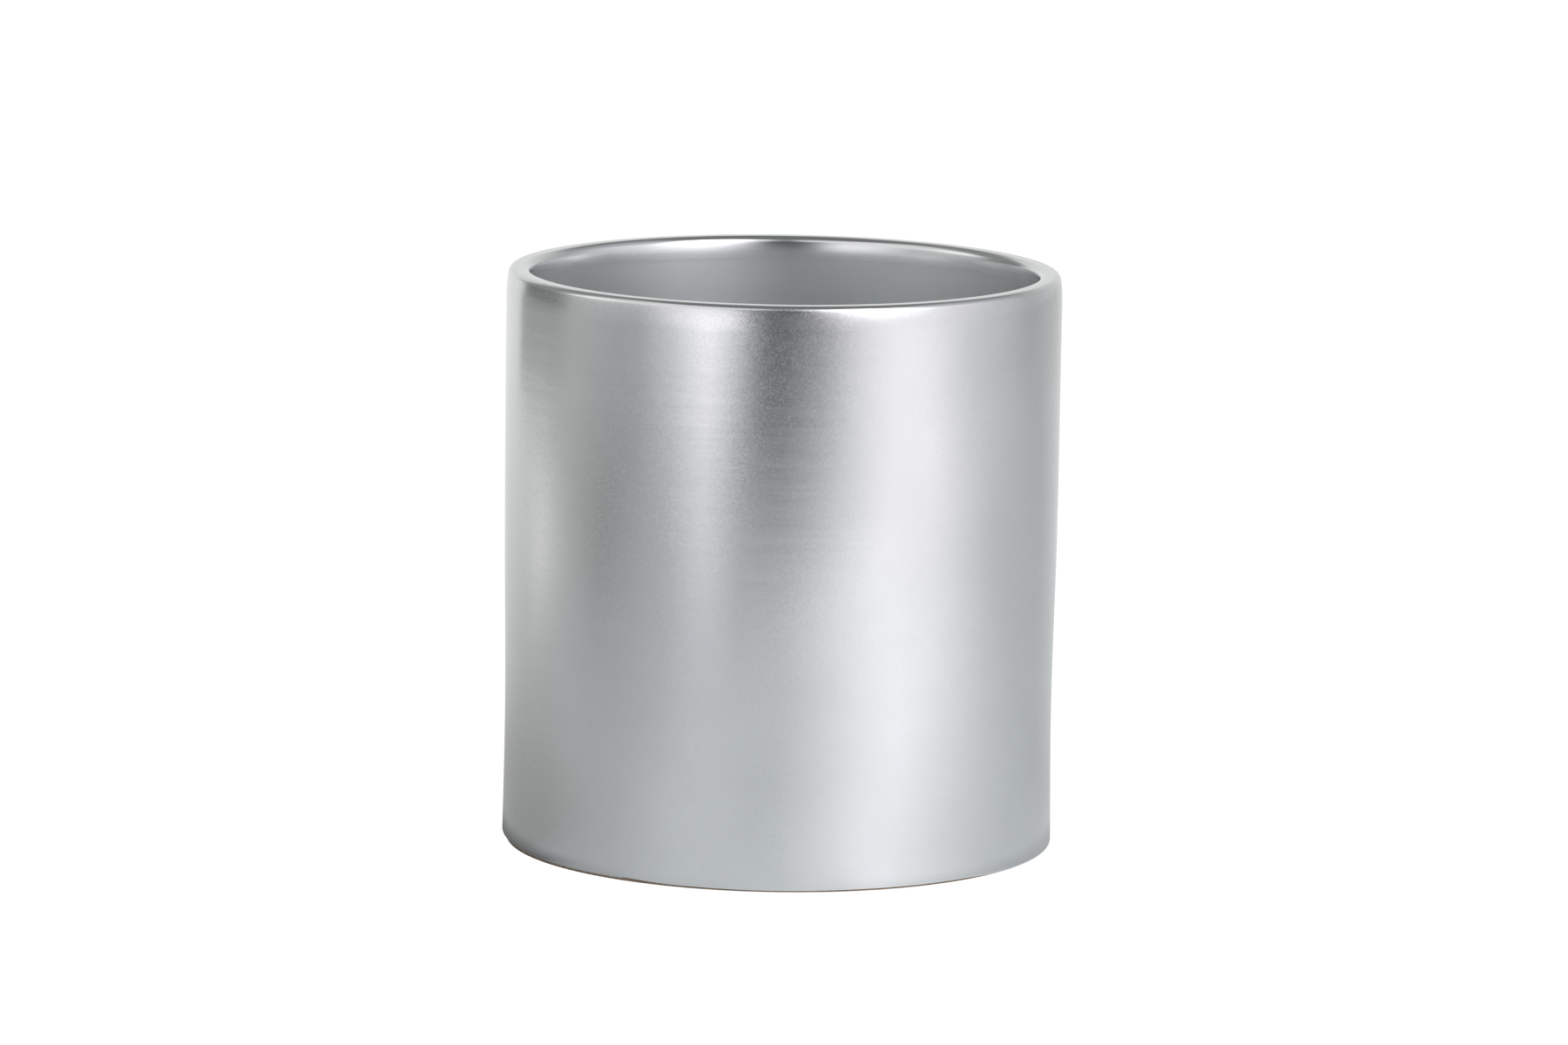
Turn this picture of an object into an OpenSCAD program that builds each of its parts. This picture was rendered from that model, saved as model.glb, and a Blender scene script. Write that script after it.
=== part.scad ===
// Round ceramic candle vessel, open at the top and standing on a bare clay foot.
// Origin: centre of the foot's underside. +Z is up, and the whole vessel is turned about Z.
// Three pieces: the fired clay body, the silver coat outside and over the rim, and the one inside.

/* [Vessel] */
// Largest outside diameter, at the rim
rim_d = 100; // [80:1:140]
// Height from the foot to the top of the rim
height = 104; // [60:1:160]
// How much smaller the outside radius is at the base than at the rim
draft = 0.3; // [0:0.05:1.5]
// Thickness of the wall, coats included
wall = 4.5; // [4.5:0.1:7]
// Thickness of the floor above the recess, coat included
floor_t = 5; // [3:0.5:10]
// Radius of the inside corner between wall and floor
well_corner_r = 6; // [2:0.5:15]

/* [Rim] */
// Radius of the rim's outer edge
shoulder_r = 1.8; // [1:0.1:2.6]
// Radius of the rim's inner edge
lip_r = 1.6; // [1:0.1:1.8]

/* [Foot] */
// Height of the bare clay foot below the coat's lower edge
foot_h = 0.4; // [0.2:0.1:2]
// Radius of the coat's lower edge
edge_r = 0.8; // [0.6:0.1:2]
// Width of the ring that the vessel stands on
foot_w = 5; // [3:0.5:12]
// Depth of the recess in the underside
recess_h = 1.6; // [0.5:0.1:3]

/* [Coats] */
// Thickness of the silver coats
coat = 0.3; // [0.2:0.05:0.4]
// Depth below the rim at which the outer coat hands over to the inner one
seam_depth = 4; // [3:0.5:20]

/* [Hidden] */
$fn = 180;
past = 1; // how far a cutting shape runs past what it cuts

rim_r = rim_d / 2;
base_r = rim_r - draft;
foot_r = base_r - edge_r;
recess_r = foot_r - foot_w;
well_floor_z = recess_h + floor_t;

// Centres of the rounded edges in the section plane, where X is the radius and Y is the height
edge_c = [base_r - edge_r, foot_h + edge_r];
shoulder_c = [rim_r - shoulder_r, height - shoulder_r];
lip_c = [rim_r - wall + lip_r, height - lip_r];
well_corner_c = [base_r - wall - well_corner_r, well_floor_z + well_corner_r];

// Quarter of a disc of radius r round c, from angle a on
module quarter(c, r, a) {
    translate(c) rotate(a) intersection() {
        circle(r);
        square(2 * r);
    }
}

// Outside of the vessel without its foot, filled to the axis and drawn in by skin
module envelope(skin) {
    polygon([
        [0, foot_h + skin],
        [edge_c.x, foot_h + skin],
        [base_r - skin, edge_c.y],
        [rim_r - skin, shoulder_c.y],
        [shoulder_c.x, height - skin],
        [0, height - skin]
    ]);
    quarter(edge_c, edge_r - skin, -90);
    quarter(shoulder_c, shoulder_r - skin, 0);
}

// The hollow that the wax goes into, filled to the axis and let out by skin
module well(skin) {
    difference() {
        polygon([
            [0, well_floor_z - skin],
            [well_corner_c.x, well_floor_z - skin],
            [base_r - wall + skin, well_corner_c.y],
            [rim_r - wall + skin, lip_c.y],
            [lip_c.x, height - skin],
            [lip_c.x, height + past],
            [0, height + past]
        ]);
        quarter(lip_c, lip_r - skin, 90);
    }
    quarter(well_corner_c, well_corner_r + skin, -90);
}

// The vessel's section without its foot, with its whole surface moved in by skin
module section(skin) {
    difference() {
        envelope(skin);
        well(skin);
    }
}

module coat_section() {
    difference() {
        section(0);
        section(coat);
    }
}

// The half of the wall that faces the well, up to the seam where the two coats meet
module inner_side() {
    translate([0, foot_h + coat]) square([rim_r - wall / 2, height - seam_depth - foot_h - coat]);
}

module clay_body() {
    color("#b3937a") rotate_extrude() difference() {
        union() {
            section(coat);
            square([foot_r, foot_h + coat]);
        }
        translate([0, -past]) square([recess_r, past + recess_h]);
    }
}

module outer_coat() {
    color("#c4c6ca") rotate_extrude() difference() {
        coat_section();
        inner_side();
        square([foot_r, foot_h + coat]);
    }
}

module inner_coat() {
    color("#a9acb0") rotate_extrude() intersection() {
        coat_section();
        inner_side();
    }
}

clay_body();
outer_coat();
inner_coat();
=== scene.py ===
import math

import bpy
from mathutils import Matrix, Vector


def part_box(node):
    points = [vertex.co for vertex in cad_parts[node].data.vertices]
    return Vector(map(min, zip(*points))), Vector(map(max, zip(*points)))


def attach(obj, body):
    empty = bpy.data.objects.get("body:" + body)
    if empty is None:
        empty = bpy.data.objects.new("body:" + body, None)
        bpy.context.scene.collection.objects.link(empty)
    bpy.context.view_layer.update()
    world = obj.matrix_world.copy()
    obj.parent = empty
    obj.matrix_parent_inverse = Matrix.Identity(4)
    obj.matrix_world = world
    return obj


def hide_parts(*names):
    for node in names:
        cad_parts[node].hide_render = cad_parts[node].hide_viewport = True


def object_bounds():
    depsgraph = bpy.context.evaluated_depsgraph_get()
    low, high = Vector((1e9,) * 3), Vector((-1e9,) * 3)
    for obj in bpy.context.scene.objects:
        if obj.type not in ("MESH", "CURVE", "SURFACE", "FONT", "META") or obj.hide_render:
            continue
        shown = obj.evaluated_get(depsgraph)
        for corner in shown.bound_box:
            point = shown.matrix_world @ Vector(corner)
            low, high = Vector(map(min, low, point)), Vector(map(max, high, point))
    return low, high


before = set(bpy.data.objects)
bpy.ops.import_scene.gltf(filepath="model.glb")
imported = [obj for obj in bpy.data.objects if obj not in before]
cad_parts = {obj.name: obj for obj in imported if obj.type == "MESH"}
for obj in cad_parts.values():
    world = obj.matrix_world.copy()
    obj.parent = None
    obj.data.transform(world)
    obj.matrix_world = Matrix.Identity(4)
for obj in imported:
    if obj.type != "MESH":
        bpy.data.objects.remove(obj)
cad_low, cad_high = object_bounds()

MM = 0.001

# ---------------------------------------------------------------- sizes, in metres
# The rim, the coat's lower edge, the well's floor and the seam come from the CAD nodes. The rest repeats
# part.scad.
RIM_R = cad_high.x
TOP = cad_high.z
FOOT_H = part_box("outer_coat")[0].z
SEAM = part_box("inner_coat")[1].z
COAT = 0.3 * MM
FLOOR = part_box("inner_coat")[0].z + COAT
WALL = 4.5 * MM
EDGE_R = 0.8 * MM
FOOT_W = 5 * MM
RECESS_H = 1.6 * MM
WELL_CORNER_R = 6 * MM

# Each edge of the rim is a small round that runs into the wall through a long easy curve of EASE_A degrees.
SHOULDER_R = 1.1 * MM
SHOULDER_EASE_R = 27 * MM
LIP_R = 1.4 * MM
LIP_EASE_R = 20 * MM
EASE_A = 8.5

# The cast wall isn't true: it draws in to a shallow waist low down, and is a little out of round. A lobe is
# (share of UNEVEN, how many go round, phase, how far they turn from bottom to top), with angles in radians.
WAIST_Z = 24 * MM
WAIST_HEIGHT = 25 * MM
WAIST_DEPTH = 0.5 * MM
UNEVEN = 0.05 * MM
LOBES = [(0.5, 2, 0.7, 0), (0.3, 3, 0, 9), (0.2, 5, 0, -14)]

# How much bare clay shows under the coat's lower edge, in millimetres, as (azimuth, height). The edge is a
# little uneven, and is raised most at the left so that a wider strip of dark clay stands in for the contact
# shade there: painted shade. Azimuths are in degrees, 0 towards the camera and 90 on its right. Above
# BARE_CLAY_FADE the wall isn't moved for it.
BARE_CLAY_AND_SHADE = [
    (-180, 0.3), (-75, 0.65), (-37, 0.6), (-20, 0.3), (0, 0.22), (20, 0.28), (42, 0.28), (53, 0.08),
    (90, 0.1), (130, 0.3), (180, 0.3),
]
BARE_CLAY_FADE = 6 * MM

# Segments round the axis, and the angle between faces, in degrees, over which an edge is sharp
SEGMENTS = 384
SHARP = 40

# ---------------------------------------------------------------- finishes
# The silver: aluminium flakes under a clear gloss. Each flake has its own tilt, and DULL_SHARE of them are
# rougher than SATIN, by up to DULL_FLAKE. The tone is cloudy, and faint waves run round the wall.
SILVER = (0.62, 0.625, 0.635)
SATIN = 0.175
CLEAR_GLOSS = 0.1
FLAKE = 0.2 * MM
FLAKE_TILT = (0.035, 0.035, 0.014)
DULL_FLAKE = 0.1
DULL_SHARE = 0.5
CLOUD = 16 * MM
CLOUD_TONES = (0.97, 1.03)
WAVE = 24 * MM
WAVE_STRETCH = 8
WAVE_DEPTH = 0.015 * MM

# The flakes are strongest on the outside, up to this far in from it, and fade to none by the rim's middle.
FLAKES_FROM = 0.8 * MM

# Inside, the finish turns drier and lighter between these depths below the rim.
DRY_SILVER = (0.735, 0.76, 0.765)
DRY_SATIN = 0.42
DRY_START = 0.8 * MM
DRY_END = 5 * MM

# The clay: brown and dry, with a fine mottle and grain, whose scales are in features to the metre.
CLAY_DARK = (0.15, 0.105, 0.075)
CLAY_LIGHT = (0.27, 0.195, 0.14)
CLAY_ROUGHNESS = 0.9
MOTTLE_SCALE = 900
GRAIN_SCALE = 1500
GRAIN_DEPTH = 0.08 * MM

# The middle of a noise's range, where nearly all of it lies
NOISE_LOW = 0.3
NOISE_HIGH = 0.7

# ---------------------------------------------------------------- studio
# The silver mirrors what stands round it, so its looks come from a table and the room beyond it. Each gets
# its brightness ring by ring: the table by distance from the vessel's middle in metres, the room by height in
# degrees. The table is no lamp but a glowing plane with painted light and shadow: a painted pool of light at
# the front right, the vessel's painted shadow towards the left and back, and painted contact shade on the
# rings nearest the foot.
# A stop is (azimuth, brightness), with azimuths as in BARE_CLAY_AND_SHADE.
TABLE_LIGHT_AND_SHADOW = [
    # The two nearest rings are darkest at the left: painted contact shade round the foot.
    (0.051, [
        (-180, 0.2), (-74, 0.15), (-60, 0.18), (-48, 0.42), (-25, 0.68), (0, 0.8), (22, 1.1), (38, 0.83),
        (60, 0.55), (90, 0.45),
    ]),
    (0.06, [
        (-180, 0.4), (-92, 0.38), (-76, 0.4), (-65, 0.5), (-42, 0.6), (-24, 0.75), (0, 0.81), (12, 0.99),
        (22, 1.2), (28, 1.23), (47, 0.93), (62, 0.75), (88, 0.63), (150, 0.5),
    ]),
    (0.12, [
        (-180, 0.5), (-124, 0.42), (-102, 0.43), (-76, 0.51), (-57, 0.59), (-38, 0.76), (-10, 0.75),
        (0, 0.79), (16, 0.99), (30, 1.22), (38, 1.26), (46, 1.2), (63, 0.96), (84, 0.76), (116, 0.58),
        (150, 0.58),
    ]),
    (0.2, [
        (-180, 0.65), (-120, 0.56), (-45, 0.6), (-25, 0.76), (0, 0.77), (15, 0.93), (45, 1.43),
        (75, 1.0), (100, 0.7), (125, 0.6),
    ]),
    (0.35, [
        (-180, 0.8), (-150, 0.7), (-125, 0.75), (-112, 0.95), (-90, 0.55), (-75, 0.33), (-45, 0.57),
        (-30, 0.86), (-15, 0.58), (0, 0.77), (37, 1.38), (60, 1.2), (90, 0.7), (130, 0.55),
    ]),
    (0.56, [
        (-180, 0.8), (-135, 0.82), (-113, 0.81), (-92, 0.52), (-70, 0.36), (-45, 0.55), (-30, 0.93),
        (-18, 0.34), (-9, 0.13), (0, 0.12), (15, 0.5), (30, 0.88), (45, 1.34), (60, 1.4), (80, 0.93),
        (130, 0.56),
    ]),
    (0.66, [
        (-180, 0.82), (-139, 0.88), (-134, 0.38), (-120, 0.38), (-106, 0.4), (-94, 0.6), (-60, 0.5),
        (-45, 0.9), (-30, 1.65), (-17, 0.86), (-8, 0.17), (0, 0.1), (15, 0.34), (30, 0.97), (45, 1.3),
        (60, 1.23), (80, 0.86), (120, 0.5), (150, 0.6),
    ]),
]
LOW = [
    (-180, 0.8), (-160, 0.85), (-139, 0.9), (-134, 0.2), (-106, 0.27), (-97, 0.6), (-60, 0.55),
    (-45, 1.1), (-32, 1.52), (-22, 1.4), (-13, 0.43), (-6, 0.14), (5, 0.26), (14, 0.4), (29, 0.98),
    (45, 1.24), (60, 1.2), (80, 0.92), (103, 0.72), (122, 0.56), (150, 0.7),
]
MIDDLE = [
    (-180, 0.75), (-150, 0.85), (-140, 0.3), (-110, 0.35), (-96, 1.4), (-82, 1.4), (-70, 1.0),
    (-25, 1.1), (-12, 0.25), (-4, 0.1), (8, 0.1), (17, 1.1), (26, 2.4), (40, 3.8), (52, 2.4), (68, 1.2),
    (120, 0.5), (150, 0.7),
]
HIGH = [
    (-180, 0.28), (-110, 0.35), (-96, 0.9), (-82, 0.9), (-70, 1.0), (-25, 1.1), (-9, 0.9), (-3, 0.2),
    (3, 0.2), (9, 0.9), (16, 1.2), (26, 2.6), (43, 4.6), (54, 2.8), (68, 0.8), (120, 0.5), (150, 0.28),
]
OVERHEAD = [(-180, 0.23), (0, 0.23)]
ROOM = [(3, LOW), (14, MIDDLE), (24, MIDDLE), (36, HIGH), (53, HIGH), (66, OVERHEAD)]

# The light's tints: cool on the table near the vessel and high up in the room, and white elsewhere. It is
# greenish instead at azimuths up to GREEN_UP_TO and from GREEN_FROM. Light over BRIGHT has a little more red.
COOL = (0.955, 1.0, 1.02)
WHITE = (0.985, 1.0, 1.03)
GREENISH = (0.98, 1.0, 0.985)
COOL_TABLE_R = 0.3
COOL_HEIGHT = 30
GREEN_UP_TO = -70
GREEN_FROM = 140
BRIGHT = 0.9
BRIGHT_RED = 0.025

# The table, and what the camera sees instead: a floor just under it, and a backdrop all round
TABLE_R = 1.5
STAGE_R = 6.0
STAGE_H = 6.0
STAGE_STEPS = 96
STAGE_LIGHT = 1.05
FLOOR_DROP = 0.1 * MM

# ---------------------------------------------------------------- camera
ELEVATION = 9.33
DISTANCE = 1.5
LENS = 190.8
SENSOR = 36
ROLL = 0.9
AIM = Vector((0.55 * MM, 0.0, TOP / 2 + 5.86 * MM))
NEAREST = 0.05
FURTHEST = 30


# ---------------------------------------------------------------- outlines
def on(centre, radius, angle):
    a = math.radians(angle)
    return (centre[0] + radius * math.cos(a), centre[1] + radius * math.sin(a))


def arc(centre, radius, start, end, steps):
    """Points along an arc in the section plane, as (radius from the axis, height)."""
    return [on(centre, radius, start + (end - start) * i / steps) for i in range(steps + 1)]


def line(start, end, steps):
    """The points that cut the line from start to end into steps, without start and end."""
    return [
        tuple(a + (b - a) * i / steps for a, b in zip(start, end)) for i in range(1, steps)
    ]


EDGE_C = (RIM_R - EDGE_R, FOOT_H + EDGE_R)
EASE_C = (
    RIM_R - SHOULDER_EASE_R,
    TOP - SHOULDER_R - (SHOULDER_EASE_R - SHOULDER_R) * math.sin(math.radians(EASE_A)),
)
SHOULDER_C = on(EASE_C, SHOULDER_EASE_R - SHOULDER_R, EASE_A)
LIP_EASE_C = (
    RIM_R - WALL + LIP_EASE_R,
    TOP - LIP_R - (LIP_EASE_R - LIP_R) * math.sin(math.radians(EASE_A)),
)
LIP_C = on(LIP_EASE_C, LIP_EASE_R - LIP_R, 180 - EASE_A)
WELL_CORNER_C = (RIM_R - WALL - WELL_CORNER_R, FLOOR + WELL_CORNER_R)
FOOT_R = RIM_R - EDGE_R


def outside(skin):
    """From the coat's lower edge, up the outside and over the rim to the seam, drawn in by skin."""
    low_edge = arc(EDGE_C, EDGE_R - skin, -90, 0, steps=10)
    ease = arc(EASE_C, SHOULDER_EASE_R - skin, 0, EASE_A, steps=12)
    shoulder = arc(SHOULDER_C, SHOULDER_R - skin, EASE_A, 90, steps=16)
    lip = arc(LIP_C, LIP_R - skin, 90, 180 - EASE_A, steps=14)
    lip_ease = arc(LIP_EASE_C, LIP_EASE_R - skin, 180 - EASE_A, 180, steps=10)
    down = [p for p in lip_ease[1:] if p[1] > SEAM]
    seam = (RIM_R - WALL + skin, SEAM)
    wall = line(low_edge[-1], ease[0], steps=60)
    return low_edge + wall + ease + shoulder[1:] + lip + down + [seam]


def inside(skin):
    """From the seam down the well's wall and along its floor to the axis, let out by skin."""
    seam = (RIM_R - WALL + skin, SEAM)
    corner = arc(WELL_CORNER_C, WELL_CORNER_R + skin, 0, -90, steps=14)
    centre = (0.0, FLOOR - skin)
    wall = line(seam, corner[0], steps=40)
    floor = line(corner[-1], centre, steps=8)
    return [seam] + wall + corner + floor + [centre]


def clay_outline():
    """The casting: the bare foot and its recess, up the outside, over the rim and down the well."""
    recess_r = FOOT_R - FOOT_W
    foot = [
        (0.0, RECESS_H),
        (recess_r, RECESS_H),
        (recess_r, 0.0),
        (FOOT_R, 0.0),
        (FOOT_R, FOOT_H + COAT),
    ]
    return foot + outside(COAT)[1:] + inside(COAT)[1:]


def outer_outline():
    """The outer coat: up its outside, and back along the clay."""
    return outside(0.0) + outside(COAT)[::-1]


def inner_outline():
    """The inner coat: from the axis along the clay to the seam, and back along its inside."""
    return inside(COAT)[::-1] + inside(0.0)


# ---------------------------------------------------------------- meshes
def uneven(angle, height):
    """How far the cast wall lies inside a true cylinder, never less than nothing."""
    waist = WAIST_DEPTH * math.exp(-(((height - WAIST_Z) / WAIST_HEIGHT) ** 2))
    lobes = sum(
        share * math.sin(count * angle + phase + turn * height / TOP)
        for share, count, phase, turn in LOBES
    )
    return waist + UNEVEN * (1 + lobes)


def coat_edge(angle, radius, height):
    """How far a point near the coat's lower edge lies above where the CAD, whose edge is level, has it."""
    if radius < FOOT_R - COAT or height < FOOT_H or height > BARE_CLAY_FADE:
        return 0.0
    azimuth = (math.degrees(angle) + 270) % 360 - 180
    # The strip is widest at the left, where the dark clay is painted contact shade under the coat's edge.
    for (low, start), (high, end) in zip(BARE_CLAY_AND_SHADE, BARE_CLAY_AND_SHADE[1:]):
        if low <= azimuth <= high:
            share = (azimuth - low) / (high - low)
            bare = start + (end - start) * share * share * (3 - 2 * share)
    fade = min(1.0, (BARE_CLAY_FADE - height) / (BARE_CLAY_FADE - FOOT_H - EDGE_R))
    return (bare * MM - FOOT_H) * fade


def lathe(name, outline, closed):
    """Turns an outline of (radius, height) about the axis. closed joins its last point to its first."""
    verts, rings, faces = [], [], []
    for radius, height in outline:
        if radius == 0:
            rings.append([len(verts)] * SEGMENTS)
            verts.append((0.0, 0.0, height))
            continue
        rings.append(list(range(len(verts), len(verts) + SEGMENTS)))
        for i in range(SEGMENTS):
            angle = 2 * math.pi * i / SEGMENTS
            r = radius - uneven(angle, height) * radius / RIM_R
            z = height + coat_edge(angle, radius, height)
            verts.append((r * math.cos(angle), r * math.sin(angle), z))
    pairs = list(zip(rings, rings[1:]))
    if closed:
        pairs.append((rings[-1], rings[0]))
    for low, high in pairs:
        for i in range(SEGMENTS):
            j = (i + 1) % SEGMENTS
            corners = [low[i], low[j], high[j], high[i]]
            face = [c for k, c in enumerate(corners) if c != corners[k - 1]]
            if len(face) > 2:
                faces.append(face)
    mesh = bpy.data.meshes.new(name)
    mesh.from_pydata(verts, [], faces)
    mesh.validate()
    mesh.polygons.foreach_set("use_smooth", [True] * len(mesh.polygons))
    mesh.set_sharp_from_angle(angle=math.radians(SHARP))
    piece = bpy.data.objects.new(name, mesh)
    bpy.context.scene.collection.objects.link(piece)
    return piece


# ---------------------------------------------------------------- nodes
def new_material(name):
    material = bpy.data.materials.new(name)
    material.use_nodes = True
    nodes = material.node_tree.nodes
    return material, nodes, material.node_tree.links, nodes["Principled BSDF"]


def feed(links, values, sockets):
    """Links each value that comes from a node to its socket, and sets the rest."""
    for value, socket in zip(values, sockets):
        if isinstance(value, bpy.types.NodeSocket):
            links.new(value, socket)
        else:
            socket.default_value = value


def scalar_math(nodes, links, operation, *values):
    node = nodes.new("ShaderNodeMath")
    node.operation = operation
    feed(links, values, node.inputs)
    return node.outputs["Value"]


def vector_math(nodes, links, operation, *values):
    node = nodes.new("ShaderNodeVectorMath")
    node.operation = operation
    feed(links, values, node.inputs)
    return node.outputs["Value" if operation == "LENGTH" else "Vector"]


def map_value(nodes, links, value, start, end, low, high, smooth=False):
    """Maps start..end to low..high, and holds what lies beyond at low or high."""
    node = nodes.new("ShaderNodeMapRange")
    if smooth:
        node.interpolation_type = "SMOOTHSTEP"
    feed(links, (value, start, end, low, high), node.inputs)
    return node.outputs["Result"]


def z_of(nodes, links, vector):
    split = nodes.new("ShaderNodeSeparateXYZ")
    links.new(vector, split.inputs["Vector"])
    return split.outputs["Z"]


def noise(nodes, links, coordinates, scale, detail):
    node = nodes.new("ShaderNodeTexNoise")
    node.inputs["Scale"].default_value = scale
    node.inputs["Detail"].default_value = detail
    links.new(coordinates, node.inputs["Vector"])
    return node.outputs["Fac"]


def bump(nodes, links, height, distance):
    node = nodes.new("ShaderNodeBump")
    node.inputs["Distance"].default_value = distance
    links.new(height, node.inputs["Height"])
    return node.outputs["Normal"]


def two_tones(nodes, links, value, low, high, start=0.0, end=1.0):
    """A colour that goes from low at start to high at end."""
    ramp = nodes.new("ShaderNodeValToRGB")
    links.new(value, ramp.inputs["Fac"])
    for stop, place, colour in zip(ramp.color_ramp.elements, (start, end), (low, high)):
        stop.position = place
        stop.color = (*colour, 1)
    return ramp.outputs["Color"]


# ---------------------------------------------------------------- materials
def waves(nodes, links, place):
    """The low waves left by the spraying, longer round the wall than up it."""
    flat = nodes.new("ShaderNodeMapping")
    flat.inputs["Scale"].default_value = (1, 1, WAVE_STRETCH)
    links.new(place, flat.inputs["Vector"])
    height = noise(nodes, links, flat.outputs["Vector"], 1 / WAVE, detail=2)
    return bump(nodes, links, height, WAVE_DEPTH)


def dryness(nodes, links, place, radius):
    """0 outside and on the rim, rising to 1 a little way down the well, where the spray landed thinner."""
    height = z_of(nodes, links, place)
    start, end = TOP - DRY_START, TOP - DRY_END
    deep = map_value(nodes, links, height, start, end, 0.0, 1.0, smooth=True)
    within = scalar_math(nodes, links, "LESS_THAN", radius, RIM_R - WALL / 2)
    return scalar_math(nodes, links, "MULTIPLY", deep, within)


def flake_cells(nodes, links, place):
    """Three random numbers for each flake."""
    cells = nodes.new("ShaderNodeTexVoronoi")
    cells.inputs["Scale"].default_value = 1 / FLAKE
    links.new(place, cells.inputs["Vector"])
    return cells.outputs["Color"]


def flake_normal(nodes, links, cells, strength, normal):
    """Tilts each flake by its own small amount."""
    centred = vector_math(nodes, links, "SUBTRACT", cells, (0.5, 0.5, 0.5))
    tilt = vector_math(nodes, links, "MULTIPLY", centred, FLAKE_TILT)
    tilt = vector_math(nodes, links, "MULTIPLY", tilt, strength)
    return vector_math(nodes, links, "NORMALIZE", vector_math(nodes, links, "ADD", tilt, normal))


def flake_dullness(nodes, links, cells, strength):
    """How much rougher than SATIN each flake is: up to DULL_FLAKE for DULL_SHARE of them, 0 for the rest."""
    chance = z_of(nodes, links, cells)
    dull = map_value(nodes, links, chance, 1 - DULL_SHARE, 1.0, 0.0, DULL_FLAKE)
    return scalar_math(nodes, links, "MULTIPLY", dull, strength)


def silver_material(name):
    """The silver of both coats. It turns dry by height, not at the seam, so the seam doesn't show."""
    material, nodes, links, shader = new_material(name)
    shader.inputs["Metallic"].default_value = 1.0
    shader.inputs["Coat Weight"].default_value = 1.0
    shader.inputs["Coat Roughness"].default_value = CLEAR_GLOSS
    place = nodes.new("ShaderNodeTexCoord").outputs["Object"]
    level = vector_math(nodes, links, "MULTIPLY", place, (1, 1, 0))
    radius = vector_math(nodes, links, "LENGTH", level)
    dry = dryness(nodes, links, place, radius)
    strength = map_value(nodes, links, radius, RIM_R - WALL / 2, RIM_R - FLAKES_FROM, 0.0, 1.0)
    cells = flake_cells(nodes, links, place)

    clouds = noise(nodes, links, place, 1 / CLOUD, detail=3)
    clouds = map_value(nodes, links, clouds, NOISE_LOW, NOISE_HIGH, *CLOUD_TONES)
    tone = two_tones(nodes, links, dry, SILVER, DRY_SILVER)
    links.new(vector_math(nodes, links, "MULTIPLY", tone, clouds), shader.inputs["Base Color"])

    satin = map_value(nodes, links, dry, 0.0, 1.0, SATIN, DRY_SATIN)
    rough = scalar_math(nodes, links, "ADD", satin, flake_dullness(nodes, links, cells, strength))
    links.new(rough, shader.inputs["Roughness"])

    wavy = waves(nodes, links, place)
    links.new(wavy, shader.inputs["Coat Normal"])
    links.new(flake_normal(nodes, links, cells, strength, wavy), shader.inputs["Normal"])
    return material


def clay_material():
    """Bare fired clay: brown, with a fine mottle and a dry, grainy surface."""
    material, nodes, links, shader = new_material("fired_clay")
    shader.inputs["Roughness"].default_value = CLAY_ROUGHNESS
    place = nodes.new("ShaderNodeTexCoord").outputs["Object"]
    mottle = noise(nodes, links, place, MOTTLE_SCALE, detail=4)
    colour = two_tones(nodes, links, mottle, CLAY_DARK, CLAY_LIGHT, NOISE_LOW, NOISE_HIGH)
    links.new(colour, shader.inputs["Base Color"])
    grain = noise(nodes, links, place, GRAIN_SCALE, detail=4)
    links.new(bump(nodes, links, grain, GRAIN_DEPTH), shader.inputs["Normal"])
    return material


# ---------------------------------------------------------------- light
def around(nodes, links, vector, stops, tint):
    """A tinted brightness that changes with the azimuth of vector, as stops says."""
    turn = nodes.new("ShaderNodeMapping")
    turn.inputs["Rotation"].default_value = (0, 0, math.radians(90))
    links.new(vector, turn.inputs["Vector"])
    gradient = nodes.new("ShaderNodeTexGradient")
    gradient.gradient_type = "RADIAL"
    links.new(turn.outputs["Vector"], gradient.inputs["Vector"])
    ramp = nodes.new("ShaderNodeValToRGB")
    links.new(gradient.outputs["Fac"], ramp.inputs["Fac"])
    places = stops + [(180, stops[0][1])]
    elements = ramp.color_ramp.elements
    while len(elements) < len(places):
        elements.new(0.5)
    for element, (azimuth, level) in zip(elements, places):
        red, green, blue = tint if GREEN_UP_TO < azimuth < GREEN_FROM else GREENISH
        if level > BRIGHT:
            red += BRIGHT_RED
        element.position = (azimuth + 180) / 360
        element.color = (level * red, level * green, level * blue, 1)
    return ramp.outputs["Color"]


def ringed(nodes, links, vector, value, rings):
    """Blends the colours of rings, each (value, stops, tint), from one ring's value to the next."""
    colour = around(nodes, links, vector, *rings[0][1:])
    for (low, _, _), (high, stops, tint) in zip(rings, rings[1:]):
        # A Mix node's colour inputs are 6 and 7, and its colour output is 2.
        mix = nodes.new("ShaderNodeMix")
        mix.data_type = "RGBA"
        links.new(map_value(nodes, links, value, low, high, 0.0, 1.0), mix.inputs["Factor"])
        links.new(colour, mix.inputs[6])
        links.new(around(nodes, links, vector, stops, tint), mix.inputs[7])
        colour = mix.outputs[2]
    return colour


def emission_material(name):
    material, nodes, links, shader = new_material(name)
    nodes.remove(shader)
    emission = nodes.new("ShaderNodeEmission")
    links.new(emission.outputs["Emission"], nodes["Material Output"].inputs["Surface"])
    return material, nodes, links, emission


def white_material(name):
    material, _, _, emission = emission_material(name)
    emission.inputs["Strength"].default_value = STAGE_LIGHT
    return material


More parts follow.
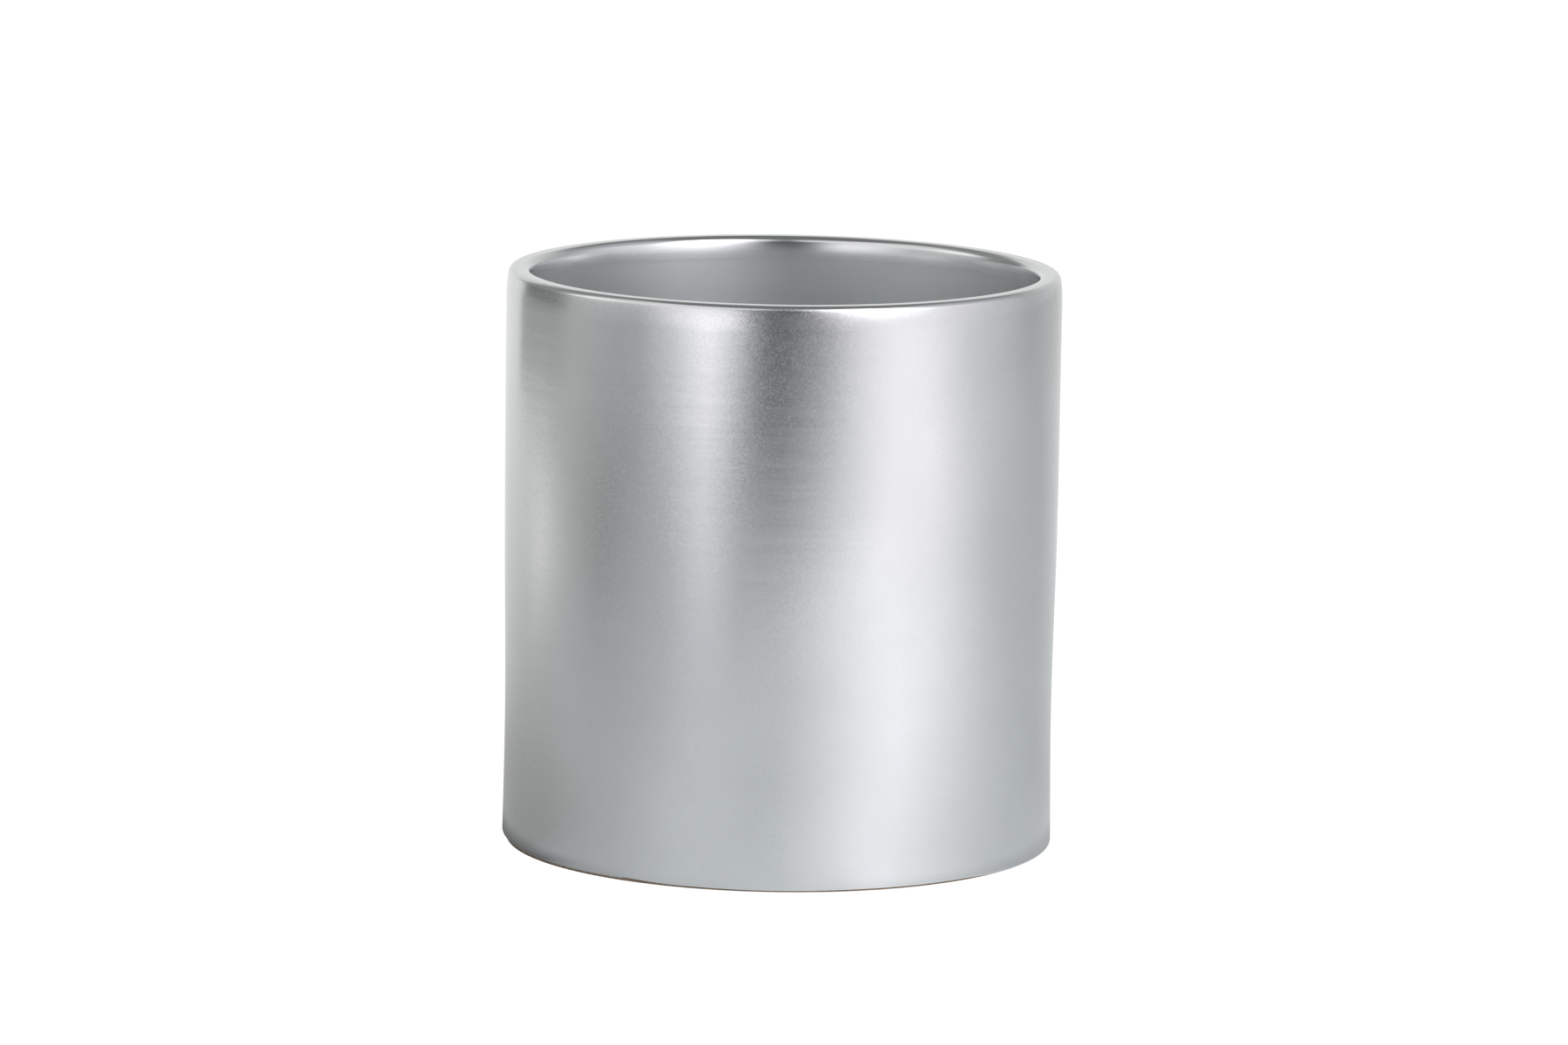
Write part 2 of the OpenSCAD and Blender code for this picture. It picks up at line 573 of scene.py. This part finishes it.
def stage_object(name, verts, faces, material, for_camera):
    """A piece of the stage that only the camera sees, or, if it isn't for_camera, only the vessel."""
    mesh = bpy.data.meshes.new(name)
    mesh.from_pydata(verts, [], faces)
    mesh.materials.append(material)
    thing = bpy.data.objects.new(name, mesh)
    bpy.context.scene.collection.objects.link(thing)
    thing.visible_camera = for_camera
    thing.visible_transmission = for_camera
    thing.visible_glossy = not for_camera
    thing.visible_diffuse = not for_camera
    thing.visible_shadow = False


def ring(radius, height):
    return [(*on((0, 0), radius, 360 * i / STAGE_STEPS), height) for i in range(STAGE_STEPS)]


def build_table():
    """The table as the silver sees it, which the camera doesn't: a glowing plane whose brightness is painted
    light and shadow.
    """
    material, nodes, links, emission = emission_material("table_painted_light_and_shadow")
    place = nodes.new("ShaderNodeNewGeometry").outputs["Position"]
    distance = vector_math(nodes, links, "LENGTH", place)
    rings = [(r, stops, COOL if r < COOL_TABLE_R else WHITE) for r, stops in TABLE_LIGHT_AND_SHADOW]
    links.new(ringed(nodes, links, place, distance, rings), emission.inputs["Color"])
    stage_object("table", ring(TABLE_R, 0.0), [range(STAGE_STEPS)], material, for_camera=False)


def build_floor():
    """The plain pale floor that the camera sees."""
    verts = ring(STAGE_R, -FLOOR_DROP)
    material = white_material("floor_white")
    stage_object("floor", verts, [range(STAGE_STEPS)], material, for_camera=True)


def build_backdrop():
    """A white backdrop, seen only by the camera, behind whatever side it looks from."""
    verts = ring(STAGE_R, -STAGE_H) + ring(STAGE_R, STAGE_H)
    steps = [(i, (i + 1) % STAGE_STEPS) for i in range(STAGE_STEPS)]
    faces = [(i, j, j + STAGE_STEPS, i + STAGE_STEPS) for i, j in steps]
    stage_object("backdrop", verts, faces, white_material("backdrop_white"), for_camera=True)


def build_room():
    """A wide soft light at the front left, a bright box at the front right, and dark between and above."""
    world = bpy.data.worlds.new("room")
    bpy.context.scene.world = world
    world.use_nodes = True
    nodes, links = world.node_tree.nodes, world.node_tree.links
    direction = nodes.new("ShaderNodeTexCoord").outputs["Generated"]
    rings = [
        (math.sin(math.radians(height)), stops, WHITE if height < COOL_HEIGHT else COOL)
        for height, stops in ROOM
    ]
    room = ringed(nodes, links, direction, z_of(nodes, links, direction), rings)
    links.new(room, nodes["Background"].inputs["Color"])


def build_camera():
    data = bpy.data.cameras.new("camera")
    data.lens = LENS
    data.sensor_width = SENSOR
    data.clip_start = NEAREST
    data.clip_end = FURTHEST
    camera = bpy.data.objects.new("camera", data)
    bpy.context.scene.collection.objects.link(camera)
    tilt = math.radians(ELEVATION)
    back = Vector((0, -math.cos(tilt), math.sin(tilt)))
    turn = (-back).to_track_quat("-Z", "Y").to_matrix() @ Matrix.Rotation(math.radians(ROLL), 3, "Z")
    camera.matrix_world = Matrix.Translation(AIM + back * DISTANCE) @ turn.to_4x4()
    bpy.context.scene.camera = camera


# ---------------------------------------------------------------- the vessel
def build_piece(piece, material, node):
    """Gives a piece its material, and puts it in the place of its CAD node."""
    piece.data.materials.append(material)
    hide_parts(node)
    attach(piece, "root")


def build_clay():
    piece = lathe("fired_clay_body", clay_outline(), closed=False)
    build_piece(piece, clay_material(), "clay_body")


def build_outer_coat():
    piece = lathe("silver_outer_coat", outer_outline(), closed=True)
    build_piece(piece, silver_material("satin_silver"), "outer_coat")


def build_inner_coat():
    piece = lathe("silver_inner_coat", inner_outline(), closed=False)
    build_piece(piece, silver_material("dry_silver"), "inner_coat")


build_clay()
build_outer_coat()
build_inner_coat()
build_table()
build_floor()
build_backdrop()
build_room()
build_camera()
bpy.context.scene.view_settings.view_transform = "Standard"
